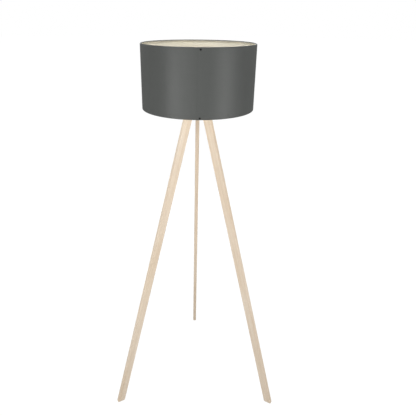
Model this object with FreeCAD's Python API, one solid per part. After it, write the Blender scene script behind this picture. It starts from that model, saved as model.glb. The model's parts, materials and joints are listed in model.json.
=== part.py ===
"""Tripod floor lamp: a fabric drum shade on three folding timber legs.

Millimetres, +Z up, floor at z = 0. Every shape is built around the lamp's own
vertical axis, and export() then moves it so that the origin lies under the
middle of the whole lamp's box. "Radial" is away from that axis; a leg, its
bracket and its bolt are drawn in the plane y = 0 and turned to their azimuth.
"""
import FreeCAD, Part
import math
import os

V = FreeCAD.Vector
UP = V(0, 0, 1)
ALONG_Y = V(0, 1, 0)
AXIS = V(0, 0, 0)

# --- driving dimensions -----------------------------------------------------
total_height = 1400.0
shade_diameter = 380.0
shade_height = 210.0

# legs
foot_radius = 357.0  # leg centre line at the floor
leg_radius_at_shade = 30.0  # leg centre line level with the shade's lower edge
leg_width = 28.0  # in the radial plane
leg_thickness = 14.0
leg_edge_round = 1.0
leg_azimuths = {"left": 210.0, "right": 330.0, "back": 90.0}
pad_thickness = 2.0
pad_margin = 1.0
pad_corner = 2.0

# hub
hub_radius = 44.0
hub_thickness = 3.0
hub_underside = 1222.0
pivot_height = 1200.0
bracket_width = 24.0
bracket_thickness = 2.0
bracket_side_gap = 0.2  # between the leg and each cheek
leg_stop_gap = 0.1  # between the leg's top corner and the bracket's web
bolt_radius = 3.0
bolt_clearance = 0.05
bolt_head_across = 10.0
bolt_head_height = 4.0
nut_flats_height = 3.6
nut_bore_depth = 4.8
nut_dome_radius = 4.5
washer_radius = 6.0
washer_thickness = 1.6
rivet_radius = 2.0
rivet_head_radius = 3.0
rivet_head_height = 1.2
rivet_spacing = 9.0
nipple_clearance = 0.1

# shade
cover_thickness = 0.5
liner_thickness = 0.5
wire_radius = 1.5
hem_radius = 2.25  # outside of the fabric where it rolls round the wire
hem_wrap_deg = 180.0
arm_azimuths = {"front": 270.0, "left": 150.0, "right": 30.0}
arm_notch_radius = 2.2
fitter_inner_radius = 20.0
fitter_outer_radius = 32.0
fitter_thickness = 2.0
fitter_height = 1264.0
seam_offset = 5.0  # the seam rivets stand this far to the right of the front
seam_rivet_from_top = 6.6
seam_rivet_from_bottom = 5.6
seam_shank_radius = 1.0
seam_head_radius = 3.0
seam_head_height = 1.0
seam_tail_radius = 1.8
seam_tail_height = 0.8

# threaded nipple that carries the lampholder
nipple_radius = 5.0
nipple_bore = 4.0
nipple_bottom = 1215.0
nipple_top = 1241.0
locknut_across = 14.0
locknut_height = 4.0
seat_washer_radius = 9.0
seat_washer_thickness = 1.2
bush_bore = 3.25
bush_flange_radius = 6.5
bush_flange_thickness = 1.5
bush_sleeve_length = 8.0

# lampholder
cap_neck_radius = 10.0
cap_neck_height = 6.0
cap_radius = 21.5
cap_height = 31.0
cap_wall = 2.0
cap_flare_height = 9.0  # of the cone between the neck and the straight side
cap_step = 3.5  # the cone starts this far outside the neck
cap_corner = 1.5
skirt_radius = 19.5
skirt_wall = 1.8
skirt_bottom = 1250.0
skirt_top = 1287.0
skirt_thread_pitch = 2.5
skirt_thread_depth = 0.6
skirt_thread_inset = 0.5  # from the cap to the first thread
ring_radius = 27.5
ring_edge_round = 0.8
ring_groove_count = 30
ring_groove_radius = 0.9
ring_groove_offset = 0.3  # of a groove's centre outside the ring
lower_ring_height = 5.5
upper_ring_height = 8.0
insert_radius = 16.5
insert_bottom = 1244.0
insert_height = 8.0
shell_inner_radius = 13.5
shell_wall = 0.5
shell_top = 1281.0
shell_floor_bore = 9.0
contact_width = 4.0
contact_lug_thickness = 1.0
contact_lug_offset = 6.0
contact_strip_thickness = 0.5
contact_gap = 0.1  # below the bulb's tip
terminal_radius = 1.75
terminal_offset = 11.0
terminal_head_radius = 3.0
terminal_head_height = 2.0
terminal_slot = 0.8

# bulb
bulb_tip = 1255.0
bulb_length = 108.0
bulb_globe_radius = 30.0
bulb_cap_radius = 13.2
bulb_thread_depth = 1.0
bulb_thread_pitch = 3.6
bulb_thread_turns = 5
bulb_contact_radius = 4.8
bulb_contact_height = 1.6
bulb_insulator_radius = 10.0
bulb_insulator_height = 3.0
bulb_cap_thickness = 0.4
bulb_cap_shoulder = 3.0
housing_wall = 2.0
housing_flare = 2.5  # the housing is this much wider than the cap ...
housing_flare_height = 9.0  # ... at this height above it
housing_rim_height = 12.0  # of the steeper part under the globe
housing_rim_flare = 5.5
globe_wall = 1.2
globe_cut = 12.0  # the globe ends this far below its centre
board_margin = 2.5
board_thickness = 1.6

# --- values that follow -----------------------------------------------------
shade_radius = shade_diameter / 2
shade_bottom = total_height - shade_height
lean = math.atan2(foot_radius - leg_radius_at_shade, shade_bottom)
sin_lean = math.sin(lean)
cos_lean = math.cos(lean)
pivot_radius = foot_radius - pivot_height * math.tan(lean)
web_underside = hub_underside - bracket_thickness
leg_above_pivot = (
    web_underside - leg_stop_gap - pivot_height - leg_width / 2 * sin_lean
) / cos_lean
cheek_outside = leg_thickness / 2 + bracket_side_gap + bracket_thickness
hub_top = hub_underside + hub_thickness
sheets_thickness = cover_thickness + liner_thickness
wire_circle = shade_radius - sheets_thickness - wire_radius
foot_reach = foot_radius + leg_width / 2 / cos_lean
front_reach = shade_radius + seam_head_height
lamp_axis_y = (front_reach - foot_reach) / 2

parts = {}


# --- helpers ----------------------------------------------------------------
def cylinder(radius, height, base=AXIS, direction=UP):
    return Part.makeCylinder(radius, height, base, direction)


def tube(outer, inner, bottom, top):
    """A ring round the lamp's axis."""
    base = V(0, 0, bottom)
    return cylinder(outer, top - bottom, base).cut(cylinder(inner, top - bottom, base))


def polygon_wire(points):
    return Part.makePolygon([*points, points[0]])


def revolved(edges_or_points):
    """A closed outline in the plane y = 0, as (radius, height) points or edges, turned round the axis."""
    if isinstance(edges_or_points[0], tuple):
        outline = polygon_wire([V(r, 0, z) for r, z in edges_or_points])
    else:
        outline = Part.Wire(edges_or_points)
    return Part.Face(outline).revolve(AXIS, UP, 360)


def hexagon(across, height, base, direction=UP):
    """A hexagonal prism with its faces "across" apart."""
    prism = Part.Face(Part.makePolygon([
        V(across / math.sqrt(3) * math.cos(math.radians(60 * k)),
          across / math.sqrt(3) * math.sin(math.radians(60 * k)), 0)
        for k in range(7)
    ])).extrude(V(0, 0, height))
    prism.Placement = FreeCAD.Placement(base, FreeCAD.Rotation(UP, direction))
    return prism


def turned(shape, azimuth):
    """A copy turned round the lamp's axis, from the plane y = 0 to an azimuth."""
    copy = shape.copy()
    copy.rotate(AXIS, UP, azimuth)
    return copy


def at_each_leg(shapes):
    """The same solids at all three legs, as one group."""
    return Part.makeCompound([
        turned(shape, azimuth) for azimuth in leg_azimuths.values() for shape in shapes
    ])


# --- tripod -----------------------------------------------------------------
def leg_point(along, across):
    """A point in the leg's plane: "along" the leg above the pivot, "across" it outwards."""
    return V(
        pivot_radius - along * sin_lean + across * cos_lean,
        0,
        pivot_height + along * cos_lean + across * sin_lean,
    )


def leg_edge_at(height, across):
    """Where the leg's edge line, "across" from its centre line, crosses a height."""
    along = (height - pivot_height - across * sin_lean) / cos_lean
    return leg_point(along, across)


def leg():
    """A slat, cut level at the floor and square at its top, with eased long edges."""
    half = leg_width / 2
    outline = polygon_wire([
        leg_edge_at(pad_thickness, -half),
        leg_edge_at(pad_thickness, half),
        leg_point(leg_above_pivot, half),
        leg_point(leg_above_pivot, -half),
    ])
    slat = Part.Face(outline).extrude(V(0, leg_thickness, 0))
    slat.translate(V(0, -leg_thickness / 2, 0))
    long_edges = [edge for edge in slat.Edges if edge.Length > pivot_height]
    slat = slat.makeFillet(leg_edge_round, long_edges)
    bore = cylinder(
        bolt_radius + bolt_clearance,
        leg_thickness,
        V(pivot_radius, -leg_thickness / 2, pivot_height),
        ALONG_Y,
    )
    return slat.cut(bore)


def foot_pad():
    """A thin non-slip pad under the level cut of a leg."""
    length = leg_width / cos_lean - 2 * pad_margin
    width = leg_thickness - 2 * pad_margin
    centre = foot_radius - pad_thickness * math.tan(lean)
    pad = Part.makeBox(
        length, width, pad_thickness, V(centre - length / 2, -width / 2, 0)
    )
    upright = [edge for edge in pad.Edges if abs(edge.tangentAt(0).z) > 0.9]
    return pad.makeFillet(pad_corner, upright)


def leg_bracket():
    """A strip bent into a U that holds a leg's top between its two cheeks."""
    half = bracket_width / 2
    left = pivot_radius - half
    right = pivot_radius + half
    outline = Part.Wire([
        Part.makeLine(V(left, 0, pivot_height), V(left, 0, hub_underside)),
        Part.makeLine(V(left, 0, hub_underside), V(right, 0, hub_underside)),
        Part.makeLine(V(right, 0, hub_underside), V(right, 0, pivot_height)),
        Part.Arc(
            V(right, 0, pivot_height),
            V(pivot_radius, 0, pivot_height - half),
            V(left, 0, pivot_height),
        ).toShape(),
    ])
    bracket = Part.Face(outline).extrude(V(0, 2 * cheek_outside, 0))
    bracket.translate(V(0, -cheek_outside, 0))
    bends = [
        edge for edge in bracket.Edges
        if edge.BoundBox.ZMin > hub_underside - 0.01 and edge.BoundBox.XLength > half
    ]
    bracket = bracket.makeFillet(bracket_thickness, bends)
    inside = cheek_outside - bracket_thickness
    channel = Part.makeBox(
        bracket_width, 2 * inside, web_underside - pivot_height + half,
        V(left, -inside, pivot_height - half),
    )
    bracket = bracket.cut(channel).cut(cylinder(
        bolt_radius + bolt_clearance, 2 * cheek_outside,
        V(pivot_radius, -cheek_outside, pivot_height), ALONG_Y,
    ))
    for radius in rivet_radii():
        bracket = bracket.cut(
            cylinder(rivet_radius, bracket_thickness, V(radius, 0, web_underside))
        )
    return bracket


def rivet_radii():
    return (pivot_radius - rivet_spacing, pivot_radius)


def bracket_rivet(radius):
    """A dome-headed rivet through the hub plate and a bracket's web."""
    shank = cylinder(rivet_radius, hub_top - web_underside, V(radius, 0, web_underside))
    lower = rivet_head(V(radius, 0, web_underside), -1)
    upper = rivet_head(V(radius, 0, hub_top), 1)
    return shank.fuse([lower, upper])


def rivet_head(base, side):
    """A shallow dome on a flat base, above it (side 1) or below it (side -1)."""
    ball_radius = (rivet_head_radius**2 + rivet_head_height**2) / (2 * rivet_head_height)
    ball = Part.makeSphere(ball_radius, base - V(0, 0, side * (ball_radius - rivet_head_height)))
    return ball.common(cylinder(rivet_head_radius, rivet_head_height, base, V(0, 0, side)))


def hub_plate():
    """The disc that ties the three brackets together and carries the lampholder."""
    plate = tube(hub_radius, nipple_radius + nipple_clearance, hub_underside, hub_top)
    holes = [
        turned(cylinder(rivet_radius, hub_thickness, V(radius, 0, hub_underside)), azimuth)
        for azimuth in leg_azimuths.values() for radius in rivet_radii()
    ]
    return plate.cut(holes)


def pivot_bolt():
    """A hexagon-head bolt along y through the cheeks and the leg."""
    seat = -cheek_outside - washer_thickness
    end = cheek_outside + washer_thickness + nut_bore_depth
    shank = cylinder(bolt_radius, end - seat, V(pivot_radius, seat, pivot_height), ALONG_Y)
    head = hexagon(
        bolt_head_across, bolt_head_height,
        V(pivot_radius, seat - bolt_head_height, pivot_height), ALONG_Y,
    )
    return shank.fuse(head)


def pivot_washer(side):
    start = cheek_outside if side > 0 else -cheek_outside - washer_thickness
    base = V(pivot_radius, start, pivot_height)
    return cylinder(washer_radius, washer_thickness, base, ALONG_Y).cut(
        cylinder(bolt_radius, washer_thickness, base, ALONG_Y)
    )


def pivot_nut():
    """A hexagon nut with a closed, domed end."""
    seat = cheek_outside + washer_thickness
    base = V(pivot_radius, seat, pivot_height)
    body = hexagon(bolt_head_across, nut_flats_height, base, ALONG_Y)
    dome_centre = V(pivot_radius, seat + nut_flats_height, pivot_height)
    dome = Part.makeSphere(nut_dome_radius, dome_centre, ALONG_Y, 0, 90, 360)
    hole = cylinder(bolt_radius, nut_bore_depth, base, ALONG_Y)
    return body.fuse(dome).cut(hole)


# --- shade ------------------------------------------------------------------
def shade_wire(height):
    return Part.makeTorus(wire_circle, wire_radius, V(0, 0, height), UP)


def hem_arc(radius, centre, side, from_deg, to_deg):
    """An arc round a wire, in the plane y = 0; angles run from the outside over the rim."""
    def point(angle):
        a = math.radians(angle)
        return V(centre.x + radius * math.cos(a), 0, centre.z + side * radius * math.sin(a))
    return Part.Arc(point(from_deg), point((from_deg + to_deg) / 2), point(to_deg)).toShape()


def shade_cover():
    """The outer fabric: a drum whose two edges roll round the wires."""
    outside = hem_radius
    inside = hem_radius - cover_thickness
    top = V(shade_radius - hem_radius, 0, total_height - hem_radius)
    bottom = V(shade_radius - hem_radius, 0, shade_bottom + hem_radius)
    over = [hem_arc(outside, top, 1, 0, hem_wrap_deg), hem_arc(inside, top, 1, hem_wrap_deg, 0)]
    under = [
        hem_arc(inside, bottom, -1, 0, hem_wrap_deg), hem_arc(outside, bottom, -1, hem_wrap_deg, 0)
    ]
    drum = revolved([
        over[0],
        Part.makeLine(over[0].Vertexes[-1].Point, over[1].Vertexes[0].Point),
        over[1],
        Part.makeLine(over[1].Vertexes[-1].Point, under[0].Vertexes[0].Point),
        under[0],
        Part.makeLine(under[0].Vertexes[-1].Point, under[1].Vertexes[0].Point),
        under[1],
        Part.makeLine(under[1].Vertexes[-1].Point, over[0].Vertexes[0].Point),
    ])
    notches = [turned(arm_rod(arm_notch_radius), azimuth) for azimuth in arm_azimuths.values()]
    return drum.cut(notches + seam_shanks())


def shade_liner():
    """The stiff cream sheet that the fabric is bonded to."""
    outer = shade_radius - cover_thickness
    liner = tube(
        outer, outer - liner_thickness, shade_bottom + hem_radius, total_height - hem_radius
    )
    return liner.cut(seam_shanks())


def arm_rod(radius):
    """A straight rod from the lower wire up to the edge of the fitter."""
    start = V(wire_circle, 0, shade_bottom + hem_radius)
    end = V(fitter_outer_radius - 1, 0, fitter_height + fitter_thickness / 2)
    return cylinder(radius, (end - start).Length, start, end - start)


def spider_arm(azimuth):
    rod = turned(arm_rod(wire_radius), azimuth)
    return rod.cut([shade_wire(shade_bottom + hem_radius), fitter_ring()])


def fitter_ring():
    """The flat ring that is clamped on the lampholder."""
    return tube(
        fitter_outer_radius, fitter_inner_radius, fitter_height, fitter_height + fitter_thickness
    )


def seam_places():
    """The middle of each seam rivet on the drum's outside, and its outward direction."""
    angle = -math.pi / 2 + math.asin(seam_offset / shade_radius)
    outward = V(math.cos(angle), math.sin(angle), 0)
    heights = (shade_bottom + seam_rivet_from_bottom, total_height - seam_rivet_from_top)
    return [(outward * shade_radius + V(0, 0, z), outward) for z in heights]


def seam_shanks():
    """The rivets' shanks, which also cut their holes."""
    depth = sheets_thickness + seam_tail_height / 2
    return [
        cylinder(seam_shank_radius, depth, place - outward * depth, outward)
        for place, outward in seam_places()
    ]


def seam_rivets():
    """Two push rivets that close the drum's lap seam, near its top and bottom edges."""
    solids = []
    for (place, outward), shank in zip(seam_places(), seam_shanks()):
        head = cylinder(
            seam_head_radius, seam_head_height + sheets_thickness,
            place - outward * sheets_thickness, outward,
        ).cut(cylinder(shade_radius, total_height))
        tail = cylinder(
            seam_tail_radius, seam_tail_height + sheets_thickness,
            place - outward * (sheets_thickness + seam_tail_height), outward,
        ).common(cylinder(shade_radius - sheets_thickness, total_height))
        solids.append(shank.fuse([head, tail]))
    return Part.makeCompound(solids)


# --- nipple and lampholder --------------------------------------------------
def threaded_nipple():
    return tube(nipple_radius, nipple_bore, nipple_bottom, nipple_top)


def nipple_locknut():
    bottom = hub_underside - locknut_height
    nut = hexagon(locknut_across, locknut_height, V(0, 0, bottom))
    return nut.cut(cylinder(nipple_radius, locknut_height, V(0, 0, bottom)))


def seat_washer():
    return tube(seat_washer_radius, nipple_radius, hub_top, hub_top + seat_washer_thickness)


def cord_bush():
    """The plastic bush that lines the nipple's lower end, where the supply lead goes in."""
    flange = tube(
        bush_flange_radius, bush_bore, nipple_bottom - bush_flange_thickness, nipple_bottom
    )
    sleeve = tube(nipple_bore, bush_bore, nipple_bottom, nipple_bottom + bush_sleeve_length)
    return flange.fuse(sleeve).removeSplitter()


def holder_cap():
    """The lampholder's domed base, screwed on the nipple."""
    bottom = hub_top + seat_washer_thickness
    top = bottom + cap_height
    shoulder = bottom + cap_neck_height
    flare = shoulder + cap_flare_height
    return revolved([
        (nipple_radius, bottom),
        (cap_neck_radius, bottom),
        (cap_neck_radius, shoulder),
        (cap_neck_radius + cap_step, shoulder),
        (cap_radius - cap_corner, flare - cap_corner),
        (cap_radius, flare + cap_corner),
        (cap_radius, top),
        (skirt_radius, top),
        (skirt_radius, flare + cap_corner + cap_wall),
        (cap_radius - cap_corner - cap_wall, flare + cap_corner),
        (cap_neck_radius + cap_step - cap_wall, shoulder + cap_wall),
        (nipple_radius, shoulder + cap_wall),
    ])


def thread_outline(radius, depth, bottom, pitch, turns):
    """The outside of a row of threads, as (radius, height) points upwards: root, crest, root."""
    root = radius - depth
    return [
        (at, bottom + (turn + share) * pitch)
        for turn in range(turns)
        for at, share in ((root, 0), (radius, 0.3), (radius, 0.6), (root, 0.9))
    ]


def holder_skirt():
    """The lampholder's outer shell, threaded outside for the two shade rings."""
    inner = skirt_radius - skirt_wall
    cap_top = hub_top + seat_washer_thickness + cap_height
    turns = int((skirt_top - cap_top - 2 * skirt_thread_inset) / skirt_thread_pitch)
    thread = thread_outline(
        skirt_radius, skirt_thread_depth, cap_top + skirt_thread_inset, skirt_thread_pitch, turns
    )
    return revolved([
        (inner, skirt_bottom), (skirt_radius, skirt_bottom), (skirt_radius, cap_top),
        *thread, (skirt_radius - skirt_thread_depth, skirt_top), (inner, skirt_top),
    ])


def shade_ring(bottom, height):
    """A ring nut, grooved for the fingers, that runs on the skirt's thread."""
    ring = tube(ring_radius, skirt_radius, bottom, bottom + height)
    rim = [edge for edge in ring.Edges if edge.Length > 2 * math.pi * ring_radius - 1]
    groove = cylinder(ring_groove_radius, height, V(ring_radius + ring_groove_offset, 0, bottom))
    return ring.makeFillet(ring_edge_round, rim).cut([
        turned(groove, 360 / ring_groove_count * k) for k in range(ring_groove_count)
    ])


def holder_insert():
    """The ceramic block that holds the contacts and their terminals."""
    bottom = V(0, 0, insert_bottom)
    block = cylinder(insert_radius, insert_height, bottom)
    screws = [
        cylinder(terminal_radius, insert_height, V(side * terminal_offset, 0, insert_bottom))
        for side in (-1, 1)
    ]
    return block.cut([*screws, contact_lug()])


def screw_shell():
    """The threaded metal sleeve that takes the bulb's cap."""
    bottom = insert_bottom + insert_height
    sleeve = tube(shell_inner_radius + shell_wall, shell_inner_radius, bottom, shell_top)
    floor = tube(shell_inner_radius + shell_wall, shell_floor_bore, bottom, bottom + shell_wall)
    return sleeve.fuse(floor).removeSplitter()


def contact_lug():
    """The centre contact's foot, which stands in a slot of the insert."""
    return Part.makeBox(
        contact_width, contact_lug_thickness, insert_height,
        V(-contact_width / 2, contact_lug_offset, insert_bottom),
    )


def centre_contact():
    """A springy strip that rises from the insert to just under the bulb's tip."""
    foot = insert_bottom + insert_height
    top = bulb_tip - contact_gap
    under = top - contact_strip_thickness
    bend = contact_lug_offset - 2
    strip = Part.Face(polygon_wire([
        V(0, contact_lug_offset + contact_lug_thickness, foot),
        V(0, bend, top),
        V(0, -bend, top),
        V(0, -bend, under),
        V(0, bend - contact_strip_thickness, under),
        V(0, contact_lug_offset, foot),
    ])).extrude(V(contact_width, 0, 0))
    strip.translate(V(-contact_width / 2, 0, 0))
    return contact_lug().fuse(strip).removeSplitter()


def terminal_screws():
    """Two cheese-head screws up through the insert from below."""
    screws = []
    for side in (-1, 1):
        base = V(side * terminal_offset, 0, insert_bottom)
        bottom = base - V(0, 0, terminal_head_height)
        head = cylinder(terminal_head_radius, terminal_head_height, bottom)
        slot = Part.makeBox(
            2 * terminal_head_radius, terminal_slot, terminal_slot,
            bottom - V(terminal_head_radius, terminal_slot / 2, 0),
        )
        screws.append(cylinder(terminal_radius, insert_height, base).fuse(head).cut(slot))
    return Part.makeCompound(screws)


# --- bulb -------------------------------------------------------------------
bulb_thread_bottom = bulb_tip + bulb_contact_height + bulb_insulator_height
bulb_neck = bulb_thread_bottom + bulb_thread_turns * bulb_thread_pitch + bulb_cap_shoulder
bulb_top = bulb_tip + bulb_length
globe_centre = bulb_top - bulb_globe_radius
globe_seat = globe_centre - globe_cut
globe_seat_radius = math.sqrt(bulb_globe_radius**2 - globe_cut**2)


def bulb_contact():
    return cylinder(bulb_contact_radius, bulb_contact_height, V(0, 0, bulb_tip))


def bulb_insulator():
    bottom = bulb_tip + bulb_contact_height
    return Part.makeCone(
        bulb_contact_radius + 0.7, bulb_insulator_radius, bulb_insulator_height, V(0, 0, bottom)
    )


def bulb_screw_cap():
    """The bulb's thin metal cap with its rounded thread."""
    thread = thread_outline(
        bulb_cap_radius, bulb_thread_depth, bulb_thread_bottom + 2 * bulb_cap_thickness,
        bulb_thread_pitch, bulb_thread_turns,
    )
    root = bulb_cap_radius - bulb_thread_depth
    inside = root - bulb_cap_thickness
    return revolved([
        (inside, bulb_thread_bottom), (root, bulb_thread_bottom), *thread,
        (root + bulb_cap_thickness, bulb_neck), (inside, bulb_neck),
    ])


def housing_side(inset):
    """The housing's flared side, from its neck up to the globe."""
    side = Part.BSplineCurve()
    side.interpolate([
        V(bulb_cap_radius - inset, 0, bulb_neck),
        V(bulb_cap_radius + housing_flare - inset, 0, bulb_neck + housing_flare_height),
        V(globe_seat_radius - housing_rim_flare - inset, 0, globe_seat - housing_rim_height),
        V(globe_seat_radius - inset, 0, globe_seat),
    ])
    return side.toShape()


def bulb_housing():
    """The bulb's white body between its cap and its globe."""
    outside, inside = housing_side(0), housing_side(housing_wall)
    (outside_low, outside_high), (inside_low, inside_high) = (
        [vertex.Point for vertex in side.Vertexes] for side in (outside, inside)
    )
    return revolved([
        outside, Part.makeLine(outside_high, inside_high), inside,
        Part.makeLine(inside_low, outside_low),
    ])


def bulb_globe():
    """The opal globe, open where it sits on the housing."""
    centre = V(0, 0, globe_centre)
    ball = Part.makeSphere(bulb_globe_radius, centre).cut(
        Part.makeSphere(bulb_globe_radius - globe_wall, centre)
    )
    below = cylinder(bulb_globe_radius, bulb_globe_radius, V(0, 0, globe_seat - bulb_globe_radius))
    return ball.cut(below)


def led_board():
    """The round board that carries the light sources, on the housing's rim inside the globe."""
    return cylinder(globe_seat_radius - board_margin, board_thickness, V(0, 0, globe_seat))


# --- all pieces -------------------------------------------------------------
for side, azimuth in leg_azimuths.items():
    parts[f"leg_{side}"] = turned(leg(), azimuth)
    parts[f"foot_pad_{side}"] = turned(foot_pad(), azimuth)
    parts[f"leg_bracket_{side}"] = turned(leg_bracket(), azimuth)
parts["hub_plate"] = hub_plate()
parts["bracket_rivets"] = at_each_leg([bracket_rivet(radius) for radius in rivet_radii()])
parts["pivot_bolts"] = at_each_leg([pivot_bolt()])
parts["pivot_washers"] = at_each_leg([pivot_washer(-1), pivot_washer(1)])
parts["pivot_nuts"] = at_each_leg([pivot_nut()])

parts["shade_cover"] = shade_cover()
parts["shade_liner"] = shade_liner()
parts["shade_wire_top"] = shade_wire(total_height - hem_radius)
parts["shade_wire_bottom"] = shade_wire(shade_bottom + hem_radius)
for side, azimuth in arm_azimuths.items():
    parts[f"spider_arm_{side}"] = spider_arm(azimuth)
parts["fitter_ring"] = fitter_ring()
parts["seam_rivets"] = seam_rivets()

parts["threaded_nipple"] = threaded_nipple()
parts["nipple_locknut"] = nipple_locknut()
parts["seat_washer"] = seat_washer()
parts["cord_bush"] = cord_bush()
parts["holder_cap"] = holder_cap()
parts["holder_skirt"] = holder_skirt()
parts["shade_ring_lower"] = shade_ring(fitter_height - lower_ring_height, lower_ring_height)
parts["shade_ring_upper"] = shade_ring(fitter_height + fitter_thickness, upper_ring_height)
parts["holder_insert"] = holder_insert()
parts["screw_shell"] = screw_shell()
parts["centre_contact"] = centre_contact()
parts["terminal_screws"] = terminal_screws()

parts["bulb_contact"] = bulb_contact()
parts["bulb_insulator"] = bulb_insulator()
parts["bulb_screw_cap"] = bulb_screw_cap()
parts["bulb_housing"] = bulb_housing()
parts["bulb_globe"] = bulb_globe()
parts["led_board"] = led_board()

os.makedirs("parts", exist_ok=True)
for name, shape in parts.items():
    shape.translate(V(0, lamp_axis_y, 0))
    assert shape.isValid() and shape.Solids, name
    shape.exportStep(f"parts/{name}.step")
print(len(parts), "nodes; lamp axis at y =", round(lamp_axis_y, 3))
print("pivot radius", round(pivot_radius, 3), "lean", round(math.degrees(lean), 3))
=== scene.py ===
"""The looks of a tripod floor lamp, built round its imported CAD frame.

Metres, +Z up, floor at z = 0. Sizes and places come from the frame's own boxes and joints.
"""

import json
import math

import bpy
import numpy as np
from mathutils import Matrix, Vector


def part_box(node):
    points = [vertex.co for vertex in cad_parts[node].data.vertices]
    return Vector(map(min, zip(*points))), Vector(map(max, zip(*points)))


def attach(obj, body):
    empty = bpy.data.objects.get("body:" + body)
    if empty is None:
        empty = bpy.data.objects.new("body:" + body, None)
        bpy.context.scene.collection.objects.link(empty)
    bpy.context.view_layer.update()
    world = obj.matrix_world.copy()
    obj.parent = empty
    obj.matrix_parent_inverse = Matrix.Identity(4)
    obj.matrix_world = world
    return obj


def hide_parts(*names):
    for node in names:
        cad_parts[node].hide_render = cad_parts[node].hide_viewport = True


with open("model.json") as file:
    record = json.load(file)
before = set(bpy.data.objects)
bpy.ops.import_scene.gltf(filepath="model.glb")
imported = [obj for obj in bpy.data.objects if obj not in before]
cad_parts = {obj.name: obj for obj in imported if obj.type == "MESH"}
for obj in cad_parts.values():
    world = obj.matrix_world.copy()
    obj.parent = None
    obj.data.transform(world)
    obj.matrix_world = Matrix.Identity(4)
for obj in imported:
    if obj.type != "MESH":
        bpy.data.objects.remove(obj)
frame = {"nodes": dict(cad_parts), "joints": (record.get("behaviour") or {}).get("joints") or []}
nodes = frame["nodes"]
joints = {joint["name"]: joint for joint in frame["joints"]}
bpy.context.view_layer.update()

MM = 0.001

# --- driving values ---------------------------------------------------------
sheet_thickness = 0.5 * MM  # the fabric, and the lining that it is bonded to, are each this thick
hem_radius = 2.25 * MM  # outside of the fabric where it rolls round a wire
hem_wrap = math.radians(180)  # how far the fabric goes round the wire
hem_wrap_at_arm = math.radians(140)  # less, where an arm of the shade's frame passes it
arm_slit = 2.2 * MM  # half the length of hem that an arm takes up
arm_slit_ease = 2.5 * MM  # the length over which the hem goes back to its full turn
lap_start = -4 * MM  # the outer end of the fabric, along the drum from its front
lap_width = 18 * MM
lap_ease = 12 * MM  # the length over which the inner end dips below the outer one
lining_gap = 1 * MM  # between the lining's two ends, which don't lap
weave_pitch = 0.42 * MM
ring_pitch = 2.6 * MM  # of the slats' year rings
arm_sides = ("front", "left", "right")

even_columns = 361  # of each sheet's mesh, over its whole length
busy_columns = np.linspace(-7, 7, 21) * MM  # more of them, round each busy place
least_column = 0.25 * MM
side_steps = 12
hem_steps = 22
sharp_edge = math.radians(50)

camera_distance = 1.50  # from the lamp's axis
camera_right = -0.0116  # of the lamp's axis
camera_above = 0.090  # above the top of the shade
camera_pitch = math.radians(24.38)  # downwards
camera_roll = math.radians(0.53)
camera_lens = 37.35
camera_sensor = 36
camera_shift = 0.035  # sideways, as a share of the sensor's width

sky_strength = 0.42  # what the surroundings light the lamp with; the camera sees them white
floor_radius = 30
floor_glow = 0.985  # how brightly the camera sees the floor
light_aim = 1.1  # the height on the axis that the softboxes point at
# name: azimuth from the front in degrees, positive to the right; height; distance; size; watts
softboxes = {
    "band_left": (-41, 1.0, 1.5, (0.46, 1.0), 10.2),
    "band_right": (53, 1.0, 1.5, (0.6, 1.0), 10.4),
    "front": (-10, 1.0, 3.2, (2.4, 2.0), 19),
    "behind": (180, 1.1, 2.4, (0.9, 1.8), 22),
    "into_shade": (0, 1.95, 0.1, (0.4, 0.1), 3.6),
}

# --- places read from the frame ---------------------------------------------
drum_low, drum_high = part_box("shade_cover")
drum_radius = (drum_high.x - drum_low.x) / 2
drum_axis = Vector(((drum_high.x + drum_low.x) / 2, (drum_high.y + drum_low.y) / 2, 0))
lamp_top = drum_high.z
drum_bottom = drum_low.z
round_length = 2 * math.pi * drum_radius
sheet_length = round_length + lap_width


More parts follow.
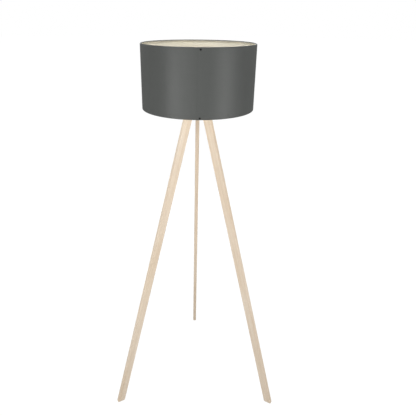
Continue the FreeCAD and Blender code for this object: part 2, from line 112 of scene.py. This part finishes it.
# --- materials --------------------------------------------------------------
class Paint:
    """One material's node tree. A method adds a node and returns the socket with its result."""

    def __init__(self, name, **constants):
        self.material = bpy.data.materials.new(name)
        self.material.use_nodes = True
        self.tree = self.material.node_tree
        self.shader = self.tree.nodes["Principled BSDF"]
        for words, value in constants.items():
            self.shader.inputs[words.replace("_", " ")].default_value = value
        self.place = self.add("TexCoord").outputs["Object"]

    def add(self, kind, inputs=(), **settings):
        node = self.tree.nodes.new("ShaderNode" + kind)
        for key, value in settings.items():
            setattr(node, key, value)
        for key, value in dict(inputs).items():
            self.feed(node.inputs[key], value)
        return node

    def feed(self, socket, value):
        if isinstance(value, bpy.types.NodeSocket):
            self.tree.links.new(value, socket)
        else:
            socket.default_value = value

    def math(self, operation, *values):
        node = self.add("Math", operation=operation)
        for socket, value in zip(node.inputs, values):
            self.feed(socket, value)
        return node.outputs[0]

    def split(self, vector):
        return self.add("SeparateXYZ", {"Vector": vector}).outputs

    def join(self, x=0.0, y=0.0, z=0.0):
        return self.add("CombineXYZ", {"X": x, "Y": y, "Z": z}).outputs["Vector"]

    def stretch(self, vector, scale, shift=(0, 0, 0)):
        """The vector scaled, per metre, along each axis."""
        inputs = {"Vector": vector, "Scale": scale, "Location": shift}
        return self.add("Mapping", inputs).outputs["Vector"]

    def noise(self, vector, scale=1.0, detail=2.0, distortion=0.0):
        inputs = {"Vector": vector, "Scale": scale, "Detail": detail, "Distortion": distortion}
        return self.add("TexNoise", inputs).outputs["Fac"]

    def spread(self, value, low, high, to_low=0.0, to_high=1.0):
        """The value's range from low to high, moved to the range from to_low to to_high."""
        inputs = {"Value": value, "From Min": low, "From Max": high}
        inputs.update({"To Min": to_low, "To Max": to_high})
        return self.add("MapRange", inputs).outputs["Result"]

    def blend(self, share, first, second):
        """Colour going from first to second as share goes from 0 to 1."""
        node = self.add("Mix", data_type="RGBA")
        for index, value in ((0, share), (6, first), (7, second)):
            self.feed(node.inputs[index], value)
        return node.outputs[2]

    def bump(self, height, depth, below=None):
        """Normals from a height of 0 to 1 that stands for depth metres."""
        inputs = {"Height": height, "Distance": depth, "Strength": 1.0}
        if below is not None:
            inputs["Normal"] = below
        return self.add("Bump", inputs).outputs["Normal"]

    def finish(self, colour=None, roughness=None, normal=None, **others):
        found = {"Base Color": colour, "Roughness": roughness, "Normal": normal, **others}
        for name, value in found.items():
            if value is not None:
                self.feed(self.shader.inputs[name], value)
        return self.material


def rgb(red, green, blue):
    """A linear colour from its 0 to 255 display values."""
    def linear(value):
        value /= 255
        return value / 12.92 if value <= 0.04045 else ((value + 0.055) / 1.055) ** 2.4
    return (linear(red), linear(green), linear(blue), 1.0)


def along_leg(paint, side):
    """Coordinates of a leg: x up along the slat from its foot, y across it, z through it."""
    joint = joints[f"leg_{side}_fold"]
    foot_low, foot_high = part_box(f"foot_pad_{side}")
    foot = (foot_low + foot_high) / 2
    length = (Vector(joint["pos_m"]) - foot).normalized()
    through = Vector(joint["axis"]).normalized()
    across = through.cross(length)
    turn = Matrix((length, across, through)).transposed().to_euler()
    inputs = {"Vector": paint.place, "Location": foot, "Rotation": turn}
    return paint.add("Mapping", inputs, vector_type="TEXTURE").outputs["Vector"]


def timber(side, pith, shift):
    """Pale lacquered slat, sawn with its pith at (across, through) from the slat's middle."""
    paint = Paint(f"timber_{side}", Specular_IOR_Level=0.35)
    here = along_leg(paint, side)
    _, across, through = paint.split(here)

    wander = paint.noise(paint.stretch(here, (1.6, 22, 22), (shift, 0, 0)), detail=1.5)
    ring_radius = paint.math(
        "SQRT",
        paint.math(
            "ADD",
            paint.math("POWER", paint.math("SUBTRACT", across, pith[0]), 2.0),
            paint.math("POWER", paint.math("SUBTRACT", through, pith[1]), 2.0),
        ),
    )
    wave = paint.math("MULTIPLY", wander, 9.0)
    rings = paint.math("ADD", paint.math("DIVIDE", ring_radius, ring_pitch), wave)
    year = paint.math("FRACT", rings)
    late = paint.math("MULTIPLY", paint.math("POWER", year, 3.0), paint.spread(year, 1.0, 0.93))
    year_tone = paint.noise(paint.join(x=paint.math("FLOOR", rings)), scale=3.7, detail=0)

    streak = paint.noise(paint.stretch(here, (5, 160, 160), (shift, 3, 1)), detail=4)
    fibre = paint.noise(paint.stretch(here, (55, 2400, 2400), (shift, 1, 2)), detail=3)
    dash = paint.noise(paint.stretch(here, (170, 3600, 3600), (shift, 5, 7)), detail=1)
    ray = paint.spread(dash, 0.64, 0.76)
    patch = paint.noise(paint.stretch(here, (2.2, 14, 14), (shift, 8, 4)), detail=2)

    pale = rgb(240, 228, 212)
    warm = rgb(232, 215, 193)
    tone = paint.blend(paint.spread(patch, 0.35, 0.65), pale, warm)
    tone = paint.blend(paint.spread(streak, 0.35, 0.75, 0.0, 0.6), tone, rgb(214, 192, 167))
    ring_share = paint.math("MULTIPLY", late, paint.spread(year_tone, 0.2, 0.8, 0.15, 0.6))
    tone = paint.blend(ring_share, tone, rgb(198, 170, 136))
    tone = paint.blend(paint.spread(fibre, 0.3, 0.8, 0.0, 0.35), tone, rgb(206, 182, 150))
    tone = paint.blend(paint.math("MULTIPLY", ray, 0.35), tone, rgb(170, 138, 104))

    rough = paint.math(
        "ADD", paint.spread(fibre, 0.3, 0.7, 0.42, 0.56), paint.math("MULTIPLY", ray, 0.12)
    )
    height = paint.math(
        "SUBTRACT",
        paint.math("ADD", paint.math("MULTIPLY", fibre, 0.7), paint.math("MULTIPLY", late, 0.25)),
        paint.math("MULTIPLY", ray, 0.4),
    )
    return paint.finish(tone, rough, paint.bump(height, 0.06 * MM))


def cloth():
    """Fine plain weave with a satin face, in threads along the sheet's own u and v in metres."""
    paint = Paint("shade_fabric", Specular_IOR_Level=0.3, Sheen_Weight=0.03, Sheen_Roughness=0.5)
    flat = paint.add("UVMap", uv_map="cloth").outputs["UV"]
    slub = paint.noise(paint.stretch(flat, (300, 300, 1)), detail=2)
    u, v, _ = paint.split(flat)
    drift = paint.math("MULTIPLY", slub, 0.9)
    across = paint.math("ADD", paint.math("DIVIDE", u, weave_pitch), drift)
    along = paint.math("ADD", paint.math("DIVIDE", v, weave_pitch), drift)

    def swell(count):
        return paint.math("SINE", paint.math("MULTIPLY", paint.math("FRACT", count), math.pi))

    parity = paint.math(
        "MODULO", paint.math("ADD", paint.math("FLOOR", across), paint.math("FLOOR", along)), 2.0
    )
    over = paint.math("GREATER_THAN", paint.math("ABSOLUTE", parity), 0.5)
    warp = paint.math("MULTIPLY", swell(across), paint.spread(swell(along), 0, 1, 0.45, 1))
    weft = paint.math("MULTIPLY", swell(along), paint.spread(swell(across), 0, 1, 0.45, 1))
    height = paint.add("Mix", {0: over, 2: weft, 3: warp}).outputs[0]

    warp_tone = paint.noise(paint.stretch(flat, (1900, 9, 1)), detail=1)
    weft_tone = paint.noise(paint.stretch(flat, (9, 1900, 1), (4, 2, 0)), detail=1)
    thread = paint.add("Mix", {0: over, 2: weft_tone, 3: warp_tone}).outputs[0]
    # painted shade: the low places between the threads are darkened towards this colour
    weave_hollow_shade = rgb(62, 64, 62)
    tone = paint.blend(paint.spread(thread, 0.3, 0.7), rgb(81, 83, 81), rgb(90, 92, 90))
    tone = paint.blend(paint.spread(height, 0.0, 0.45, 0.75, 0.0), tone, weave_hollow_shade)
    rough = paint.spread(height, 0.2, 1.0, 0.5, 0.36)
    return paint.finish(tone, rough, paint.bump(height, 0.035 * MM))


def lining():
    """The smooth cream plastic sheet inside the drum."""
    paint = Paint("shade_lining", Specular_IOR_Level=0.4)
    cloud = paint.noise(paint.place, 9, detail=3)
    mottle = paint.noise(paint.place, 900, detail=3)
    tone = paint.blend(paint.spread(cloud, 0.3, 0.7), rgb(238, 232, 214), rgb(243, 238, 222))
    tone = paint.blend(paint.spread(mottle, 0.4, 0.9, 0.0, 0.15), tone, rgb(226, 218, 197))
    rough = paint.spread(mottle, 0.3, 0.7, 0.42, 0.52)
    return paint.finish(tone, rough, paint.bump(mottle, 0.006 * MM))


def moulded(name, colour, rough, grain=1400, depth=0.02, **constants):
    """Plastic, rubber or ceramic: a faint cloudiness and a fine moulded grain."""
    paint = Paint(name, **constants)
    cloud = paint.noise(paint.place, 60, detail=2)
    fine = paint.noise(paint.place, grain, detail=2)
    darker = [0.9 * part for part in colour[:3]] + [1.0]
    tone = paint.blend(paint.spread(cloud, 0.3, 0.7, 0.0, 0.6), colour, darker)
    surface = paint.spread(fine, 0.3, 0.7, rough - 0.05, rough + 0.05)
    return paint.finish(tone, surface, paint.bump(fine, depth * MM))


def coated(name, colour, rough):
    """Powder-coated steel: orange peel over an even colour."""
    paint = Paint(name, Coat_Weight=0.2, Coat_Roughness=0.25)
    peel = paint.noise(paint.place, 700, detail=1)
    cloud = paint.noise(paint.place, 35, detail=2)
    darker = [0.88 * part for part in colour[:3]] + [1.0]
    tone = paint.blend(paint.spread(cloud, 0.35, 0.75, 0.0, 0.5), colour, darker)
    surface = paint.spread(peel, 0.3, 0.7, rough - 0.04, rough + 0.06)
    return paint.finish(tone, surface, paint.bump(peel, 0.05 * MM))


def metal(name, colour, rough, scratch=(900, 900, 90)):
    """Plated metal with fine scratches along the axis with the smallest scratch scale."""
    paint = Paint(name, Metallic=1.0)
    lines = paint.noise(paint.stretch(paint.place, scratch), detail=4)
    cloud = paint.noise(paint.place, 120, detail=3)
    darker = [0.72 * part for part in colour[:3]] + [1.0]
    tone = paint.blend(paint.spread(cloud, 0.4, 0.8, 0.0, 0.7), colour, darker)
    surface = paint.math(
        "ADD", paint.spread(lines, 0.3, 0.7, rough - 0.06, rough + 0.08),
        paint.spread(cloud, 0.4, 0.8, 0.0, 0.1),
    )
    return paint.finish(tone, surface, paint.bump(lines, 0.01 * MM))


def dress(material, *names):
    """Gives CAD nodes this material on every slot."""
    for name in names:
        mesh = nodes[name].data
        mesh.materials.clear()
        mesh.materials.append(material)


# --- the drum's two sheets --------------------------------------------------
def smooth_step(value):
    value = min(max(value, 0.0), 1.0)
    return value * value * (3 - 2 * value)


def columns():
    """Places along the sheet, close together at its two ends and where an arm passes the hem."""
    places = set(np.linspace(0, sheet_length, even_columns))
    for middle in (0.0, lap_width, round_length, sheet_length, *arm_places):
        places |= set(middle + busy_columns)
    places = sorted(place for place in places if -1e-9 <= place <= sheet_length + 1e-9)
    kept = [places[0]]
    for place in places[1:]:
        if place - kept[-1] > least_column:
            kept.append(place)
    return kept


def angle_at(place):
    """The direction, from the drum's axis, of a place along the sheet."""
    return -math.pi / 2 + (lap_start + place) / drum_radius


def arm_place(side):
    """Where along the sheet an arm of the shade's frame reaches the drum."""
    low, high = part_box(f"spider_arm_{side}")
    outward = max(
        (Vector((x, y, 0)) - drum_axis for x in (low.x, high.x) for y in (low.y, high.y)),
        key=lambda offset: offset.length,
    )
    turn = math.atan2(outward.y, outward.x) + math.pi / 2
    return (turn * drum_radius - lap_start) % round_length


arm_places = [arm_place(side) for side in arm_sides]


def sheet(name, profile, start=0.0):
    """A sheet bent into the drum, from the place start. profile(place) gives its middle line there
    as (radius, height, normal in radius, normal in height). Its inner end dips below its outer."""
    places = columns()
    length = places[-1]
    places = [place for place in places if place >= start]
    rows, flats = [], []
    for place in places:
        turn = angle_at(place)
        outward = Vector((math.cos(turn), math.sin(turn), 0))
        dip = -sheet_thickness * smooth_step((place - length + lap_width + lap_ease) / lap_ease)
        line = profile(place)
        run, previous = 0.0, line[0]
        front, back, across = [], [], []
        for radius, height, normal_out, normal_up in line:
            run += math.hypot(radius - previous[0], height - previous[1])
            previous = (radius, height)
            for side, points in ((0.5, front), (-0.5, back)):
                offset = dip + side * sheet_thickness
                point = drum_axis + outward * (radius + normal_out * offset)
                points.append(point + Vector((0, 0, height + normal_up * offset)))
            across.append(run)
        rows.append(front + back[::-1])
        flats.append(across + across[::-1])
    return closed_strip(name, places, rows, flats)


def closed_strip(name, places, rows, flats):
    """A mesh whose cross-section is a closed loop, the same number of points at each place."""
    count = len(rows[0])
    points = [point for row in rows for point in row]
    faces = [
        (a * count + b, (a + 1) * count + b, (a + 1) * count + (b + 1) % count,
         a * count + (b + 1) % count)
        for a in range(len(rows) - 1)
        for b in range(count)
    ]
    half = count // 2
    for row, flip in ((0, False), (len(rows) - 1, True)):
        for k in range(half - 1):
            face = [row * count + i for i in (k, k + 1, count - 2 - k, count - 1 - k)]
            faces.append(tuple(face[::-1] if flip else face))
    mesh = bpy.data.meshes.new(name)
    mesh.from_pydata(points, [], faces)
    flat_map = mesh.uv_layers.new(name="cloth")
    flat_of = [(places[a], flats[a][b]) for a in range(len(rows)) for b in range(count)]
    for loop in mesh.loops:
        flat_map.data[loop.index].uv = flat_of[loop.vertex_index]
    mesh.validate()
    mesh.shade_smooth()
    mesh.set_sharp_from_angle(angle=sharp_edge)
    piece = bpy.data.objects.new(name, mesh)
    bpy.context.scene.collection.objects.link(piece)
    return piece


def hem(centre_height, over, wrap):
    """Middle line of the fabric round a wire, from its outside over the rim; over is 1 or -1."""
    middle = hem_radius - sheet_thickness / 2
    points = []
    for k in range(hem_steps + 1):
        turn = wrap * k / hem_steps
        out, up = math.cos(turn), over * math.sin(turn)
        centre = drum_radius - hem_radius
        points.append((centre + middle * out, centre_height + middle * up, out, up))
    return points


def straight_side(radius, start, end):
    """Middle line of an upright stretch of a sheet."""
    rise = end - start
    return [(radius, start + rise * k / side_steps, 1, 0) for k in range(side_steps + 1)]


def fabric_profile(place):
    """Rolled lower hem, straight side, rolled upper hem."""
    nearest = min(abs(place - arm) for arm in arm_places)
    slit = 1 - smooth_step((nearest - arm_slit) / arm_slit_ease)
    lower_wrap = hem_wrap + (hem_wrap_at_arm - hem_wrap) * slit
    lower = hem(drum_bottom + hem_radius, -1, lower_wrap)[::-1]
    upper = hem(lamp_top - hem_radius, 1, hem_wrap)
    radius = drum_radius - sheet_thickness / 2
    start, end = lower[-1][1], upper[0][1]
    side = straight_side(radius, start, end)[1:-1]
    return lower + side + upper


def lining_profile(place):
    """A straight side just inside the fabric, from wire to wire."""
    radius = drum_radius - 1.5 * sheet_thickness
    start, end = drum_bottom + hem_radius, lamp_top - hem_radius
    return straight_side(radius, start, end)


def drum_sheets():
    fabric = sheet("shade_fabric_sheet", fabric_profile)
    fabric.data.materials.append(cloth())
    lining_start = lap_width + lining_gap
    liner = sheet("shade_lining_sheet", lining_profile, lining_start)
    liner.data.materials.append(lining())
    # each sheet goes on the lamp's body in place of its CAD node, which is hidden; a sheet's middle
    # line is a little inside the drum's outside
    for piece, node, slot in (
        (fabric, "shade_cover", "shade_fabric"),
        (liner, "shade_liner", "shade_lining"),
    ):
        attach(piece, "lamp")
        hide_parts(node)


# --- CAD nodes --------------------------------------------------------------
def dress_frame():
    piths = {"left": (-48 * MM, 30 * MM), "right": (62 * MM, 18 * MM), "back": (40 * MM, -44 * MM)}
    for shift, (side, pith) in enumerate(piths.items()):
        dress(timber(side, pith, 3.7 * shift), f"leg_{side}")
    dress(
        moulded("pad_rubber", rgb(170, 158, 143), 0.75, depth=0.05),
        *(f"foot_pad_{side}" for side in piths),
    )
    dress(
        coated("coated_steel", rgb(226, 225, 221), 0.38),
        "hub_plate", *(f"leg_bracket_{side}" for side in piths),
    )
    dress(
        metal("zinc_steel", rgb(196, 199, 202), 0.3), "bracket_rivets", "pivot_bolts",
        "pivot_washers", "pivot_nuts", "threaded_nipple", "nipple_locknut", "seat_washer",
    )
    dress(
        coated("shade_wire", rgb(234, 233, 229), 0.28),
        "shade_wire_top", "shade_wire_bottom", "fitter_ring",
        *(f"spider_arm_{side}" for side in arm_sides),
    )
    dress(moulded("rivet_plastic", rgb(12, 12, 13), 0.5, Specular_IOR_Level=0.3), "seam_rivets")
    dress(
        moulded("holder_plastic", rgb(232, 230, 224), 0.35),
        "holder_cap", "holder_skirt", "shade_ring_lower", "shade_ring_upper", "cord_bush",
    )
    dress(moulded("insert_ceramic", rgb(228, 222, 210), 0.6, 2500, 0.04), "holder_insert")
    dress(
        metal("contact_brass", rgb(212, 176, 98), 0.28),
        "screw_shell", "centre_contact", "terminal_screws", "bulb_contact",
    )
    dress(metal("bulb_cap_metal", rgb(205, 204, 200), 0.24), "bulb_screw_cap")
    dress(moulded("bulb_insulation", rgb(34, 30, 32), 0.25), "bulb_insulator")
    dress(moulded("bulb_body", rgb(226, 226, 222), 0.32), "bulb_housing")
    dress(
        moulded("bulb_opal", rgb(222, 222, 217), 0.34, Subsurface_Weight=0.2,
                Subsurface_Radius=(0.004, 0.004, 0.004)),
        "bulb_globe",
    )
    dress(moulded("board_aluminium", rgb(230, 231, 230), 0.45), "led_board")


# --- studio -----------------------------------------------------------------
def studio():
    scene = bpy.context.scene
    scene.view_settings.view_transform = "Standard"

    world = bpy.data.worlds.new("studio")
    world.use_nodes = True
    tree = world.node_tree
    seen = tree.nodes.new("ShaderNodeLightPath").outputs["Is Camera Ray"]
    strength = tree.nodes.new("ShaderNodeMapRange")
    strength.inputs["To Min"].default_value = sky_strength
    strength.inputs["To Max"].default_value = 1.0
    sky = tree.nodes["Background"]
    sky.inputs["Color"].default_value = (1, 1, 1, 1)
    tree.links.new(seen, strength.inputs["Value"])
    tree.links.new(strength.outputs["Result"], sky.inputs["Strength"])
    scene.world = world

    bpy.ops.mesh.primitive_circle_add(radius=floor_radius, vertices=96, fill_type="NGON")
    floor = bpy.context.object
    floor.name = "floor"
    paint = Paint("floor_paint", Roughness=0.9, Specular_IOR_Level=0.0, Emission_Color=(1, 1, 1, 1))
    seen = paint.add("LightPath").outputs["Is Camera Ray"]
    speck = paint.noise(paint.place, 25, detail=3)
    tone = paint.blend(speck, (0.44, 0.44, 0.44, 1), (0.46, 0.46, 0.46, 1))
    tone = paint.blend(seen, tone, (0.06, 0.06, 0.06, 1))
    glow = paint.spread(seen, 0, 1, 0, floor_glow)
    floor.data.materials.append(paint.finish(tone, **{"Emission Strength": glow}))

    def softbox(name, azimuth, height, distance, size, power):
        """A soft light at an azimuth from the front, positive to the right, aimed at the lamp."""
        turn = math.radians(azimuth)
        place = drum_axis + distance * Vector((math.sin(turn), -math.cos(turn), 0))
        place.z = height
        lamp = bpy.data.lights.new(name, "AREA")
        lamp.shape = "RECTANGLE"
        lamp.size, lamp.size_y = size
        lamp.energy = power
        light = bpy.data.objects.new(name, lamp)
        away = place - drum_axis - Vector((0, 0, light_aim))
        light.matrix_world = (
            Matrix.Translation(place) @ away.to_track_quat("Z", "Y").to_matrix().to_4x4()
        )
        light.visible_camera = False
        scene.collection.objects.link(light)

    for name, box in softboxes.items():
        softbox(name, *box)


def camera():
    lens = bpy.data.cameras.new("camera")
    lens.sensor_width = camera_sensor
    lens.lens = camera_lens
    lens.shift_x = camera_shift
    view = bpy.data.objects.new("camera", lens)
    view.location = (
        drum_axis.x + camera_right, drum_axis.y - camera_distance, lamp_top + camera_above
    )
    view.rotation_euler = (math.pi / 2 - camera_pitch, 0, 0)
    view.rotation_euler.rotate_axis("Z", camera_roll)
    bpy.context.scene.collection.objects.link(view)
    bpy.context.scene.camera = view


studio()
camera()
drum_sheets()
dress_frame()
